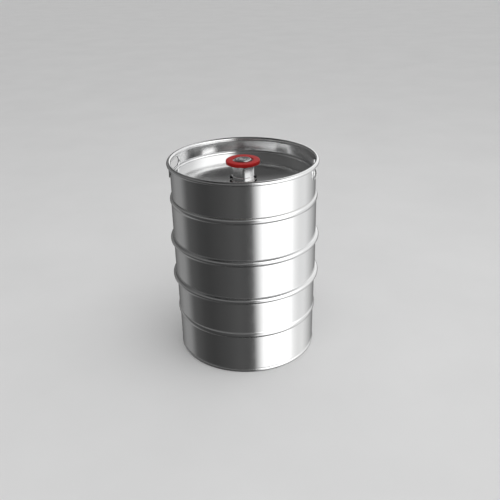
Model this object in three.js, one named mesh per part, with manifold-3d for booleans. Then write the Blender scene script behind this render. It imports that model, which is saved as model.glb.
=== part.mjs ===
// A 50 litre stainless steel beer keg with a double-valve tapping fitting.
//
// Units are millimetres and +Z is up. The origin is the centre of the footprint, so the keg stands
// on z = 0. Nearly every piece is turned about the Z axis, so it is written as a closed outline of
// [radius, height] points and revolved. Pieces that touch keep GAP between them.

import * as THREE from "three";
import { mergeVertices } from "three/addons/utils/BufferGeometryUtils.js";
import Module from "manifold-3d";

const wasm = await Module();
wasm.setup();

// ---------------------------------------------------------------- driving dimensions
const KEG_HEIGHT = 532;
const RIM_RADIUS = 195;
const HOOP_RADIUS = 197.5;
const BODY_RADIUS = 189.5;
const LOWER_WALL_RADIUS = 187.5;
const TOP_CHIME_RADIUS = 187;
const BOTTOM_CHIME_RADIUS = 186;
const SHEET = 1.6;
const GAP = 0.3;

// Beads rolled into the barrel: two rolling hoops at mid height and a bead at each shoulder.
const UPPER_HOOP_Z = 323;
const LOWER_HOOP_Z = 218.3;
const UPPER_BEAD_Z = 432;
const LOWER_BEAD_Z = 117.5;
const HOOP_HALF_WIDTH = 7.5;
const BEAD_HALF_WIDTH = 6.5;
const UPPER_BEAD_RADIUS = 192.3;
const LOWER_BEAD_RADIUS = 189.8;
const SEAM_Z = (UPPER_HOOP_Z + LOWER_HOOP_Z) / 2;

// Dished top head and domed bottom head.
const HEAD_EDGE_Z = 490;
const HEAD_CENTRE_Z = 474;
const HEAD_KNUCKLE = 5.5;
const BOTTOM_CENTRE_Z = 20;
const BOTTOM_EDGE_Z = 60;

// Hand holes through the top chime, each with a raised lip on the outside.
const HAND_HOLE_Z = 505;
const HAND_HOLE_HEIGHT = 25;
const HAND_HOLE_LENGTH = 110;
const HAND_HOLE_LIP = 3.5;
const HAND_HOLE_LIP_RADIUS = TOP_CHIME_RADIUS + HAND_HOLE_LIP;

// Neck welded into the top head.
const NECK_RADIUS = 28;
const NECK_COLLAR_RADIUS = 29.3;
const NECK_COLLAR_TOP = 486;
const NECK_BOTTOM = 462;
const NECK_TOP = 523.5;
const NECK_FLANGE_RADIUS = 35;
const NECK_FLANGE_THICKNESS = 5;
const NECK_FILLET = 1.5;
const NECK_BORE = 25.8;
const NECK_LEDGE_Z = 470;
const NECK_LEDGE_BORE = 22;
const LOCK_SCREW_Z = 480;
const LOCK_SCREW_RADIUS = 4;
const LOCK_SCREW_END = 34.5;
const LOCK_SCREW_TURN = 7;

// Coloured ring clipped over the neck flange.
const CAP_RADIUS = 44;
const CAP_HOLE = 26;
const CAP_TOP = 526.7;
const CAP_BOTTOM = 517.4;

// Tapping fitting. The plate and its seal can be pressed down 8, and the poppet in it 6 more.
const PLATE_RADIUS = 21.5;
const PLATE_TOP = 528.2;
const PLATE_UNDERSIDE = 523.6;
const SEAT_BORE = 22.4;
const HOUSING_BORE = 24.6;
const PORT_BORE = 8.6;
const PORT_DEPTH = 2.6;
const PORT_CONE = 1.3;
const STEM_RADIUS = 12.4;
const STEM_BORE = 10.2;
const STEM_BOTTOM = 496;
const TUBE_RADIUS = 7.5;
const TUBE_WALL = 1;
const TUBE_BOTTOM = 33;
const CAGE_FLOOR_Z = 442;

// Facets around the axis.
const BARREL_SEGMENTS = 40;
const FITTING_SEGMENTS = 24;
const SMALL_SEGMENTS = 12;

// ---------------------------------------------------------------- finishes
const FINISHES = {
  polishedSteel: { color: 0xb4b6b8, roughness: 0.18, metalness: 1 },
  fittingSteel: { color: 0x9c9ea0, roughness: 0.28, metalness: 1 },
  springSteel: { color: 0x8a8c8f, roughness: 0.35, metalness: 1 },
  blackenedSteel: { color: 0x1b1b1c, roughness: 0.45, metalness: 0.6 },
  blackRubber: { color: 0x161616, roughness: 0.8, metalness: 0 },
  redPlastic: { color: 0xa81f1a, roughness: 0.38, metalness: 0 },
};

// ---------------------------------------------------------------- geometry helpers
// Revolves a closed outline of [radius, height] points, listed anticlockwise, about +Z.
function revolve(outline, segments) {
  const closed = [...outline, outline[0]];
  return spin(closed, segments);
}

// Revolves an outline whose first and last points are on the axis.
function spin(outline, segments) {
  const points = outline.map(([radius, height]) => new THREE.Vector2(radius, height));
  const geometry = new THREE.LatheGeometry(points, segments);
  geometry.rotateX(Math.PI / 2);
  return weld(geometry);
}

// Keeps only positions, merges the shared ones and drops collapsed triangles.
function weld(geometry) {
  geometry.deleteAttribute("normal");
  geometry.deleteAttribute("uv");
  const merged = mergeVertices(geometry, 1e-4);
  const index = merged.index.array;
  const kept = [];
  for (let i = 0; i < index.length; i += 3) {
    const [a, b, c] = [index[i], index[i + 1], index[i + 2]];
    if (a !== b && b !== c && c !== a) kept.push(a, b, c);
  }
  merged.setIndex(kept);
  return merged;
}

function toSolid(geometry) {
  const welded = geometry.getAttribute("normal") ? weld(geometry) : geometry;
  return new wasm.Manifold(new wasm.Mesh({
    numProp: 3,
    vertProperties: new Float32Array(welded.attributes.position.array),
    triVerts: new Uint32Array(welded.index.array),
  }));
}

function toGeometry(solid) {
  const mesh = solid.getMesh();
  const geometry = new THREE.BufferGeometry();
  geometry.setAttribute("position", new THREE.BufferAttribute(mesh.vertProperties, 3));
  geometry.setIndex(new THREE.BufferAttribute(mesh.triVerts, 1));
  return geometry;
}

// Points on a circle or ellipse in the outline's plane, from one angle to another in degrees.
function arc(centre, radii, from, to, steps) {
  return Array.from({ length: steps + 1 }, (_, i) => {
    const angle = THREE.MathUtils.degToRad(from + ((to - from) * i) / steps);
    return [centre[0] + radii[0] * Math.cos(angle), centre[1] + radii[1] * Math.sin(angle)];
  });
}

// A bead that bulges outwards from the radius `base` to `peak`, listed upwards.
function bead(z, base, peak, halfWidth) {
  return arc([base, z], [peak - base, halfWidth], -90, 90, 4);
}

// A straight-sided slot shape with round ends, drawn about the origin.
function slotShape(length, height) {
  const straight = (length - height) / 2;
  const radius = height / 2;
  const shape = new THREE.Shape();
  shape.moveTo(-straight, -radius);
  shape.lineTo(straight, -radius);
  shape.absarc(straight, 0, radius, -Math.PI / 2, Math.PI / 2, false);
  shape.lineTo(-straight, radius);
  shape.absarc(-straight, 0, radius, Math.PI / 2, (3 * Math.PI) / 2, false);
  return shape;
}

// A bar of that shape along X, on the side of the keg given by sign. It ends outside the rim.
function slotBar(length, height, z, sign) {
  const reach = 40;
  const beyond = 4;
  const options = { depth: reach, bevelEnabled: false, curveSegments: 6 };
  const bar = new THREE.ExtrudeGeometry(slotShape(length, height), options);
  bar.rotateX(Math.PI / 2);
  bar.rotateZ(Math.PI / 2);
  bar.translate(sign > 0 ? RIM_RADIUS + beyond - reach : -RIM_RADIUS - beyond, 0, z);
  return toSolid(bar);
}

// A round bar between two distances from the axis, in the direction of a lock screw: near +X or
// -X by sign, turned about the axis by LOCK_SCREW_TURN degrees.
function screwBar(radius, inner, outer, sign) {
  const bar = new THREE.CylinderGeometry(radius, radius, outer - inner, SMALL_SEGMENTS);
  bar.rotateZ(Math.PI / 2);
  bar.translate((sign * (inner + outer)) / 2, 0, LOCK_SCREW_Z);
  bar.rotateZ(THREE.MathUtils.degToRad(LOCK_SCREW_TURN));
  return bar;
}

// A helical spring of round wire, standing between two heights.
function coil(radius, wire, bottom, top, turns) {
  const low = bottom + wire;
  const high = top - wire;
  const stepsPerTurn = 10;
  const steps = turns * stepsPerTurn;
  const points = Array.from({ length: steps + 1 }, (_, i) => {
    const angle = (2 * Math.PI * turns * i) / steps;
    const height = low + ((high - low) * i) / steps;
    return new THREE.Vector3(radius * Math.cos(angle), radius * Math.sin(angle), height);
  });
  const section = new THREE.Shape();
  section.absarc(0, 0, wire, 0, 2 * Math.PI, false);
  return new THREE.ExtrudeGeometry(section, {
    steps,
    extrudePath: new THREE.CatmullRomCurve3(points),
    curveSegments: 3,
    bevelEnabled: false,
  });
}

// ---------------------------------------------------------------- barrel
const UPPER_SPIGOT = TOP_CHIME_RADIUS - SHEET - GAP;
const LOWER_SPIGOT = BOTTOM_CHIME_RADIUS - SHEET - GAP;
const NECK_HOLE = NECK_COLLAR_RADIUS + GAP;
const UPPER_SHOULDER_Z = UPPER_BEAD_Z + BEAD_HALF_WIDTH + SHEET;
const LOWER_SHOULDER_Z = 108;

// The dished top head is a shallow paraboloid between its knuckle and the neck.
function topHeadPoint(radius) {
  const knuckleCentre = UPPER_SPIGOT - HEAD_KNUCKLE;
  const depth = HEAD_EDGE_Z - HEAD_CENTRE_Z;
  return [radius, HEAD_CENTRE_Z + depth * (radius / knuckleCentre) ** 2];
}

// The upper half: barrel wall, rolling hoop, shoulder, spigot inside the chime, and top head.
function upperShell() {
  const wall = BODY_RADIUS - SHEET;
  const base = SEAM_Z + GAP / 2;
  const knuckle = [UPPER_SPIGOT - HEAD_KNUCKLE, HEAD_EDGE_Z - HEAD_KNUCKLE];
  const innerKnuckle = HEAD_KNUCKLE - SHEET;
  const headRadii = [150, 110, 65];
  const outside = [
    [BODY_RADIUS, base],
    ...bead(UPPER_HOOP_Z, BODY_RADIUS, HOOP_RADIUS, HOOP_HALF_WIDTH),
    ...bead(UPPER_BEAD_Z, BODY_RADIUS, UPPER_BEAD_RADIUS, BEAD_HALF_WIDTH),
    [BODY_RADIUS - SHEET, UPPER_SHOULDER_Z],
    [UPPER_SPIGOT, UPPER_SHOULDER_Z],
    ...arc(knuckle, [HEAD_KNUCKLE, HEAD_KNUCKLE], 0, 90, 3),
    ...headRadii.map(topHeadPoint),
    topHeadPoint(NECK_HOLE),
  ];
  const lowered = ([radius, height]) => [radius, height - SHEET];
  const inside = [
    lowered(topHeadPoint(NECK_HOLE)),
    ...headRadii.map(topHeadPoint).map(lowered).reverse(),
    ...arc(knuckle, [innerKnuckle, innerKnuckle], 90, 0, 2),
    [UPPER_SPIGOT - SHEET, UPPER_SHOULDER_Z - SHEET],
    [wall, UPPER_SHOULDER_Z - 2 * SHEET],
    ...bead(UPPER_HOOP_Z, wall, HOOP_RADIUS - SHEET, HOOP_HALF_WIDTH - SHEET / 2).reverse(),
    [wall, base],
  ];
  return revolve([...outside, ...inside], BARREL_SEGMENTS);
}

// The domed bottom head, from its outer edge to the axis, for a given offset inwards.
function bottomHead(offset) {
  const depth = BOTTOM_EDGE_Z - BOTTOM_CENTRE_Z - offset;
  const edge = LOWER_SPIGOT - offset;
  const dome = arc([0, BOTTOM_EDGE_Z], [edge, depth], 0, -90, 7);
  dome[dome.length - 1][0] = 0;
  return dome;
}

// The lower half: barrel wall, rolling hoop, drawn-in wall, shoulder bead, spigot inside the chime
// and bottom head.
function lowerShell() {
  const wall = BODY_RADIUS - SHEET;
  const lowerWall = LOWER_WALL_RADIUS - SHEET;
  const top = SEAM_Z - GAP / 2;
  const hoopFoot = LOWER_HOOP_Z - HOOP_HALF_WIDTH;
  const drawnIn = 6;
  const outside = [
    ...bottomHead(0).reverse(),
    [LOWER_SPIGOT, LOWER_SHOULDER_Z],
    [BOTTOM_CHIME_RADIUS, LOWER_SHOULDER_Z],
    ...bead(LOWER_BEAD_Z, LOWER_WALL_RADIUS, LOWER_BEAD_RADIUS, BEAD_HALF_WIDTH),
    [LOWER_WALL_RADIUS, hoopFoot - drawnIn],
    ...bead(LOWER_HOOP_Z, BODY_RADIUS, HOOP_RADIUS, HOOP_HALF_WIDTH),
    [BODY_RADIUS, top],
  ];
  const inside = [
    [wall, top],
    ...bead(LOWER_HOOP_Z, wall, HOOP_RADIUS - SHEET, HOOP_HALF_WIDTH - SHEET / 2).reverse(),
    [lowerWall, hoopFoot - drawnIn],
    [lowerWall, LOWER_BEAD_Z - BEAD_HALF_WIDTH + SHEET / 2],
    [LOWER_SPIGOT - SHEET, LOWER_SHOULDER_Z + SHEET],
    ...bottomHead(SHEET),
  ];
  return spin([...outside, ...inside], BARREL_SEGMENTS);
}

// ---------------------------------------------------------------- chimes
const RIM_HALF_WIDTH = 5.6;
const RIM_HALF_HEIGHT = 5.3;

// A skirt welded on the shoulder, its top edge rolled into a bead, with two lipped hand holes.
function topChime() {
  const inner = TOP_CHIME_RADIUS - SHEET;
  const foot = UPPER_SHOULDER_Z + GAP;
  const centre = [RIM_RADIUS - RIM_HALF_WIDTH, KEG_HEIGHT - RIM_HALF_HEIGHT];
  const radii = [RIM_HALF_WIDTH, RIM_HALF_HEIGHT];
  const outline = [
    [TOP_CHIME_RADIUS, foot],
    [TOP_CHIME_RADIUS, centre[1] - 2 * RIM_HALF_HEIGHT],
    ...arc(centre, radii, -60, 210, 9),
    [inner, centre[1] - 1.5 * RIM_HALF_HEIGHT],
    [inner, foot],
  ];
  let chime = toSolid(revolve(outline, BARREL_SEGMENTS));
  const lipBand = toSolid(revolve([
    [TOP_CHIME_RADIUS - SHEET / 2, HAND_HOLE_Z - HAND_HOLE_HEIGHT],
    [HAND_HOLE_LIP_RADIUS, HAND_HOLE_Z - HAND_HOLE_HEIGHT],
    [HAND_HOLE_LIP_RADIUS, HAND_HOLE_Z + HAND_HOLE_HEIGHT],
    [TOP_CHIME_RADIUS - SHEET / 2, HAND_HOLE_Z + HAND_HOLE_HEIGHT],
  ], BARREL_SEGMENTS));
  for (const side of [-1, 1]) {
    const lipLength = HAND_HOLE_LENGTH + 2 * HAND_HOLE_LIP;
    const lipHeight = HAND_HOLE_HEIGHT + 2 * HAND_HOLE_LIP;
    const lip = lipBand.intersect(slotBar(lipLength, lipHeight, HAND_HOLE_Z, side));
    const hole = slotBar(HAND_HOLE_LENGTH, HAND_HOLE_HEIGHT, HAND_HOLE_Z, side);
    chime = chime.add(lip).subtract(hole);
  }
  return toGeometry(chime);
}

const FOOT_HALF_WIDTH = 5;
const FOOT_HEIGHT = 10;
const FOOT_RADIUS = 187;
const FOOT_FLAT = 2.4;
const FOOT_EDGE = 2;

// A skirt under the lower shoulder, its bottom edge rolled inwards into a flat-soled foot.
function bottomChime() {
  const inner = BOTTOM_CHIME_RADIUS - SHEET;
  const top = LOWER_SHOULDER_Z - GAP;
  const middle = FOOT_RADIUS - FOOT_HALF_WIDTH;
  return revolve([
    [middle - FOOT_FLAT, 0],
    [middle + FOOT_FLAT, 0],
    [FOOT_RADIUS - 0.5, FOOT_EDGE],
    [FOOT_RADIUS, FOOT_HEIGHT / 2],
    [BOTTOM_CHIME_RADIUS, FOOT_HEIGHT],
    [BOTTOM_CHIME_RADIUS, top],
    [inner, top],
    [inner, FOOT_HEIGHT + FOOT_EDGE],
    [middle - FOOT_EDGE, FOOT_HEIGHT],
    [middle - FOOT_HALF_WIDTH + 0.5, FOOT_HEIGHT - FOOT_EDGE],
    [middle - FOOT_HALF_WIDTH, FOOT_HEIGHT / 2],
    [middle - FOOT_HALF_WIDTH + 0.5, FOOT_EDGE],
  ], BARREL_SEGMENTS);
}

// ---------------------------------------------------------------- neck and its ring
const RING_GROOVE_LOW = 520.8;
const RING_GROOVE_HIGH = 522.8;
const RING_GROOVE_RADIUS = 27;

// The neck: a flanged tube with a thicker collar at its foot, a groove for the retaining ring
// and two cross holes for the lock screws.
function neckBoss() {
  const flangeBottom = NECK_TOP - NECK_FLANGE_THICKNESS;
  const outline = [
    [NECK_LEDGE_BORE, NECK_BOTTOM],
    [NECK_COLLAR_RADIUS, NECK_BOTTOM],
    [NECK_COLLAR_RADIUS, NECK_COLLAR_TOP - NECK_COLLAR_RADIUS + NECK_RADIUS],
    [NECK_RADIUS, NECK_COLLAR_TOP],
    [NECK_RADIUS, flangeBottom - NECK_FILLET],
    [NECK_RADIUS + NECK_FILLET, flangeBottom],
    [NECK_FLANGE_RADIUS, flangeBottom],
    [NECK_FLANGE_RADIUS, NECK_TOP],
    [NECK_BORE, NECK_TOP],
    [NECK_BORE, RING_GROOVE_HIGH],
    [RING_GROOVE_RADIUS, RING_GROOVE_HIGH],
    [RING_GROOVE_RADIUS, RING_GROOVE_LOW],
    [NECK_BORE, RING_GROOVE_LOW],
    [NECK_BORE, NECK_LEDGE_Z],
    [NECK_LEDGE_BORE, NECK_LEDGE_Z],
  ];
  let neck = toSolid(revolve(outline, FITTING_SEGMENTS));
  const beyond = 2;
  for (const side of [-1, 1]) {
    const inner = NECK_BORE - beyond;
    const outer = NECK_COLLAR_RADIUS + beyond;
    const hole = screwBar(LOCK_SCREW_RADIUS + GAP, inner, outer, side);
    neck = neck.subtract(toSolid(hole));
  }
  return toGeometry(neck);
}

// A set screw that stands out of the neck collar and stops the fitting from turning.
function lockScrew(side) {
  return screwBar(LOCK_SCREW_RADIUS, NECK_BORE + GAP, LOCK_SCREW_END, side);
}

const GASKET_THICKNESS = 3;

// A flat rubber ring on the neck's ledge, under the housing.
function neckGasket() {
  const low = NECK_LEDGE_Z + GAP;
  const high = low + GASKET_THICKNESS;
  return revolve([
    [NECK_LEDGE_BORE + GAP, low],
    [NECK_BORE - GAP, low],
    [NECK_BORE - GAP, high],
    [NECK_LEDGE_BORE + GAP, high],
  ], FITTING_SEGMENTS);
}

// The plastic ring: a flat top over the neck flange and a skirt around it.
function capRing() {
  const lipUnderside = NECK_TOP + GAP;
  const skirt = NECK_FLANGE_RADIUS + GAP;
  const edge = 2.3;
  const chamfer = 1.6;
  return revolve([
    [CAP_HOLE, lipUnderside],
    [skirt, lipUnderside],
    [skirt, CAP_BOTTOM],
    [CAP_RADIUS - chamfer, CAP_BOTTOM],
    [CAP_RADIUS, CAP_BOTTOM + chamfer],
    ...arc([CAP_RADIUS - edge, CAP_TOP - edge], [edge, edge], 0, 90, 3),
    [CAP_HOLE + chamfer, CAP_TOP],
    [CAP_HOLE, CAP_TOP - chamfer],
  ], FITTING_SEGMENTS);
}

// ---------------------------------------------------------------- fitting, fixed pieces
const HOUSING_RADIUS = NECK_BORE - GAP;
const HOUSING_BOTTOM = NECK_LEDGE_Z + GASKET_THICKNESS + 2 * GAP;
const HOUSING_TOP = NECK_TOP - GAP;
const HOUSING_LEDGE = 2.4;
const HOUSING_LEDGE_Z = HOUSING_BOTTOM + HOUSING_LEDGE;
const HOUSING_STEP = 1.3;
const SEAT_CONE_TOP = HOUSING_TOP - 3.4;
const SEAT_CONE_MIDDLE = HOUSING_TOP - 6.3;
const SEAT_CONE_LOW = HOUSING_TOP - 8.7;
const CAGE_RADIUS = NECK_LEDGE_BORE - GAP;
const CAGE_WALL = 1.3;
const CAGE_FLOOR = 2;
const CAGE_FLANGE = 2.5;
const CAGE_FLOOR_BORE = TUBE_RADIUS + 1.5;
const CAGE_WINDOW_WIDTH = 14;
const CAGE_WINDOW_HEIGHT = 22;
const CAGE_WINDOW_SILL = 3;

// The housing screwed into the neck. Its conical mouth is the seat of the gas valve.
function fittingBody() {
  const stepRadius = HOUSING_RADIUS - HOUSING_STEP;
  return revolve([
    [NECK_LEDGE_BORE + GAP, HOUSING_BOTTOM],
    [HOUSING_RADIUS, HOUSING_BOTTOM],
    [HOUSING_RADIUS, RING_GROOVE_LOW],
    [stepRadius, RING_GROOVE_LOW],
    [stepRadius, HOUSING_TOP],
    [SEAT_BORE, HOUSING_TOP],
    [SEAT_BORE, SEAT_CONE_TOP],
    [SEAT_BORE + 1.5, SEAT_CONE_MIDDLE],
    [HOUSING_BORE, SEAT_CONE_LOW],
    [HOUSING_BORE, HOUSING_LEDGE_Z],
    [NECK_LEDGE_BORE + GAP, HOUSING_LEDGE_Z],
  ], FITTING_SEGMENTS);
}

// A split ring sprung into the neck's groove, over the step of the housing.
function retainingRing() {
  const low = RING_GROOVE_LOW + GAP;
  const high = RING_GROOVE_HIGH - GAP;
  const inner = HOUSING_RADIUS - HOUSING_STEP + GAP;
  const outer = RING_GROOVE_RADIUS - GAP;
  const ring = toSolid(revolve([
    [inner, low],
    [outer, low],
    [outer, high],
    [inner, high],
  ], FITTING_SEGMENTS));
  const splitWidth = 5;
  const splitReach = 12;
  const split = new THREE.BoxGeometry(splitWidth, splitReach, splitReach);
  split.translate(0, RING_GROOVE_RADIUS, low);
  return toGeometry(ring.subtract(toSolid(split)));
}

// A slotted cup that hangs in the housing and holds the foot of the gas valve spring.
function springCage() {
  const flangeLow = HOUSING_LEDGE_Z + GAP;
  const flangeHigh = flangeLow + CAGE_FLANGE;
  const wall = CAGE_RADIUS - CAGE_WALL;
  const flangeRadius = HOUSING_BORE - 0.5;
  const floorTop = CAGE_FLOOR_Z + CAGE_FLOOR;
  const cup = toSolid(revolve([
    [CAGE_FLOOR_BORE, CAGE_FLOOR_Z],
    [CAGE_RADIUS, CAGE_FLOOR_Z],
    [CAGE_RADIUS, flangeLow],
    [flangeRadius, flangeLow],
    [flangeRadius, flangeHigh],
    [wall, flangeHigh],
    [wall, floorTop],
    [CAGE_FLOOR_BORE, floorTop],
  ], FITTING_SEGMENTS));
  const length = 3 * CAGE_RADIUS;
  const window = new THREE.BoxGeometry(length, CAGE_WINDOW_WIDTH, CAGE_WINDOW_HEIGHT);
  window.translate(0, 0, floorTop + CAGE_WINDOW_SILL + CAGE_WINDOW_HEIGHT / 2);
  const crossed = window.clone().rotateZ(Math.PI / 2);
  return toGeometry(cup.subtract(toSolid(window)).subtract(toSolid(crossed)));
}

// ---------------------------------------------------------------- fitting, gas valve
const BACKING_LOW = 508;
const BACKING_HIGH = 510;
const BACKING_RADIUS = SEAT_BORE - 1.4;
const TUBE_HEAD_TOP = STEM_BOTTOM + 6.7;
const TUBE_HEAD_RADIUS = STEM_BORE - GAP;
const GAS_COIL_RADIUS = 16.5;
const GAS_WIRE_RADIUS = 1.6;
const GAS_SPRING_TURNS = 6;

// The plate that a coupler presses, with the beer port through it and a hollow stem below.
function valvePlate() {
  const edge = 1.8;
  const chamfer = 0.8;
  return revolve([
    [STEM_BORE, STEM_BOTTOM],
    [STEM_RADIUS, STEM_BOTTOM],
    [STEM_RADIUS, PLATE_UNDERSIDE],
    [PLATE_RADIUS - chamfer, PLATE_UNDERSIDE],
    [PLATE_RADIUS, PLATE_UNDERSIDE + chamfer],
    ...arc([PLATE_RADIUS - edge, PLATE_TOP - edge], [edge, edge], 0, 90, 3),
    [PORT_BORE, PLATE_TOP],
    [PORT_BORE, PLATE_TOP - PORT_DEPTH],
    [STEM_BORE, PLATE_TOP - PORT_DEPTH - PORT_CONE],
  ], FITTING_SEGMENTS);
}

// The rubber seal under the plate. Its cone closes on the housing's mouth.
function gasValveSeal() {
  const bore = STEM_RADIUS + GAP;
  const low = BACKING_HIGH + GAP;
  const high = PLATE_UNDERSIDE - GAP;
  return revolve([
    [bore, low],
    [SEAT_BORE - 0.1, low],
    [SEAT_BORE + 1.1, low + 1.2],
    [SEAT_BORE + 1.1, SEAT_CONE_MIDDLE],
    [SEAT_BORE - GAP, SEAT_CONE_TOP - 0.2],
    [SEAT_BORE - 0.5, high - 2.3],
    [SEAT_BORE - 2, high],
    [bore, high],
  ], FITTING_SEGMENTS);
}

// A steel washer under the seal, which the gas valve spring pushes on.
function sealBackingRing() {
  return revolve([
    [STEM_RADIUS + GAP, BACKING_LOW],
    [BACKING_RADIUS, BACKING_LOW],
    [BACKING_RADIUS, BACKING_HIGH],
    [STEM_RADIUS + GAP, BACKING_HIGH],
  ], FITTING_SEGMENTS);
}

// The tube that draws beer from the bottom of the keg. Its wide head is held in the plate's stem,
// and its lower end has a cross slot.
function downTube() {
  const bore = TUBE_RADIUS - TUBE_WALL;
  const headBore = TUBE_HEAD_RADIUS - TUBE_WALL;
  const coneLow = STEM_BOTTOM - 7;
  const coneHigh = STEM_BOTTOM - 2;
  const inwards = TUBE_WALL / 2;
  const tube = toSolid(revolve([
    [bore, TUBE_BOTTOM],
    [TUBE_RADIUS, TUBE_BOTTOM],
    [TUBE_RADIUS, coneLow],
    [TUBE_HEAD_RADIUS, coneHigh],
    [TUBE_HEAD_RADIUS, TUBE_HEAD_TOP],
    [headBore, TUBE_HEAD_TOP],
    [headBore, coneHigh + inwards],
    [bore, coneLow + inwards],
  ], SMALL_SEGMENTS));
  const slotWidth = 4;
  const slotDepth = 4;
  const slot = new THREE.BoxGeometry(3 * TUBE_RADIUS, slotWidth, 2 * slotDepth);
  slot.translate(0, 0, TUBE_BOTTOM);
  return toGeometry(tube.subtract(toSolid(slot)));
}

// The spring that stands in the cage and holds the gas valve shut.
function gasValveSpring() {
  const floor = CAGE_FLOOR_Z + CAGE_FLOOR + GAP;
  return coil(GAS_COIL_RADIUS, GAS_WIRE_RADIUS, floor, BACKING_LOW - GAP, GAS_SPRING_TURNS);
}

// ---------------------------------------------------------------- fitting, beer valve
const BEER_SEAT_LOW = TUBE_HEAD_TOP + GAP;
const BEER_SEAT_HIGH = BEER_SEAT_LOW + 2;
const POPPET_TOP = PLATE_TOP - GAP;
const POPPET_FLANGE_LOW = 520;
const POPPET_FLANGE_HIGH = 522.4;
const POPPET_GROOVE_HIGH = 524.9;
const POPPET_STEM_RADIUS = 3;
const POPPET_BOTTOM = 499;
const POPPET_FLANGE_RADIUS = STEM_BORE - 0.6;
const POPPET_HEAD_RADIUS = PORT_BORE - 0.4;
const POPPET_GROOVE_RADIUS = PORT_BORE - 2;
const BEER_COIL_RADIUS = 6.6;
const BEER_WIRE_RADIUS = 0.8;
const BEER_SPRING_TURNS = 4;

// The poppet closes the port from below. A groove around it holds its seal.
function beerValvePoppet() {
  return spin([
    [0, POPPET_BOTTOM],
    [POPPET_STEM_RADIUS, POPPET_BOTTOM],
    [POPPET_STEM_RADIUS, POPPET_FLANGE_LOW],
    [POPPET_FLANGE_RADIUS, POPPET_FLANGE_LOW],
    [POPPET_FLANGE_RADIUS, POPPET_FLANGE_HIGH],
    [POPPET_GROOVE_RADIUS, POPPET_FLANGE_HIGH],
    [POPPET_GROOVE_RADIUS, POPPET_GROOVE_HIGH],
    [POPPET_HEAD_RADIUS, POPPET_GROOVE_HIGH],
    [POPPET_HEAD_RADIUS, POPPET_TOP],
    [0, POPPET_TOP],
  ], SMALL_SEGMENTS * 2);
}

// The rubber ring in that groove. Its cone closes on the port.
function beerValveSeal() {
  const bore = POPPET_GROOVE_RADIUS + GAP;
  const outer = STEM_BORE - 0.5;
  const cone = 0.8;
  const low = POPPET_FLANGE_HIGH + GAP;
  const high = POPPET_GROOVE_HIGH - GAP;
  return revolve([
    [bore, low],
    [outer, low],
    [outer, high - cone],
    [PORT_BORE, high],
    [bore, high],
  ], SMALL_SEGMENTS * 2);
}

// A drilled washer on the head of the down tube. It guides the poppet's stem.
function beerSpringSeat() {
  const inner = POPPET_STEM_RADIUS + 0.4;
  const outer = STEM_BORE - GAP;
  let washer = toSolid(revolve([
    [inner, BEER_SEAT_LOW],
    [outer, BEER_SEAT_LOW],
    [outer, BEER_SEAT_HIGH],
    [inner, BEER_SEAT_HIGH],
  ], SMALL_SEGMENTS * 2));
  const holes = 4;
  const holeRadius = 1.5;
  const holeCircle = 6.4;
  for (let i = 0; i < holes; i += 1) {
    const drill = new THREE.CylinderGeometry(holeRadius, holeRadius, 8, 8);
    drill.rotateX(Math.PI / 2);
    drill.translate(holeCircle, 0, BEER_SEAT_LOW);
    drill.rotateZ((2 * Math.PI * (i + 0.5)) / holes);
    washer = washer.subtract(toSolid(drill));
  }
  return toGeometry(washer);
}

// The spring that stands on that washer and holds the poppet shut.
function beerValveSpring() {
  const low = BEER_SEAT_HIGH + GAP;
  const high = POPPET_FLANGE_LOW - GAP;
  return coil(BEER_COIL_RADIUS, BEER_WIRE_RADIUS, low, high, BEER_SPRING_TURNS);
}

// ---------------------------------------------------------------- assembly
const keg = new THREE.Group();
const fixedPieces = new THREE.Group();
const gasValve = new THREE.Group();
const beerValve = new THREE.Group();
gasValve.add(beerValve);
keg.add(fixedPieces, gasValve);

function place(group, name, geometry, finish) {
  const mesh = new THREE.Mesh(geometry, new THREE.MeshStandardMaterial(finish));
  mesh.name = name;
  group.add(mesh);
}

place(fixedPieces, "upper_shell", upperShell(), FINISHES.polishedSteel);
place(fixedPieces, "lower_shell", lowerShell(), FINISHES.polishedSteel);
place(fixedPieces, "top_chime", topChime(), FINISHES.polishedSteel);
place(fixedPieces, "bottom_chime", bottomChime(), FINISHES.polishedSteel);
place(fixedPieces, "neck_boss", neckBoss(), FINISHES.fittingSteel);
place(fixedPieces, "lock_screw_left", lockScrew(-1), FINISHES.blackenedSteel);
place(fixedPieces, "lock_screw_right", lockScrew(1), FINISHES.blackenedSteel);
place(fixedPieces, "neck_gasket", neckGasket(), FINISHES.blackRubber);
place(fixedPieces, "fitting_body", fittingBody(), FINISHES.fittingSteel);
place(fixedPieces, "retaining_ring", retainingRing(), FINISHES.springSteel);
place(fixedPieces, "spring_cage", springCage(), FINISHES.fittingSteel);

place(gasValve, "valve_plate", valvePlate(), FINISHES.fittingSteel);
place(gasValve, "gas_valve_seal", gasValveSeal(), FINISHES.blackRubber);
place(gasValve, "seal_backing_ring", sealBackingRing(), FINISHES.fittingSteel);
place(gasValve, "down_tube", downTube(), FINISHES.fittingSteel);
place(gasValve, "gas_valve_spring", gasValveSpring(), FINISHES.springSteel);
place(gasValve, "beer_spring_seat", beerSpringSeat(), FINISHES.fittingSteel);

place(beerValve, "beer_valve_poppet", beerValvePoppet(), FINISHES.fittingSteel);
place(beerValve, "beer_valve_seal", beerValveSeal(), FINISHES.blackRubber);
place(beerValve, "beer_valve_spring", beerValveSpring(), FINISHES.springSteel);

place(keg, "cap_ring", capRing(), FINISHES.redPlastic);

export default keg;
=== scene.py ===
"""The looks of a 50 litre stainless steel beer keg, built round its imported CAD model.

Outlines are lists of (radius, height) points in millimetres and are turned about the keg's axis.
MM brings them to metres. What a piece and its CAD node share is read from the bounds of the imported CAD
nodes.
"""

import math
import bmesh
import bpy
from mathutils import Matrix, Vector


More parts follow.
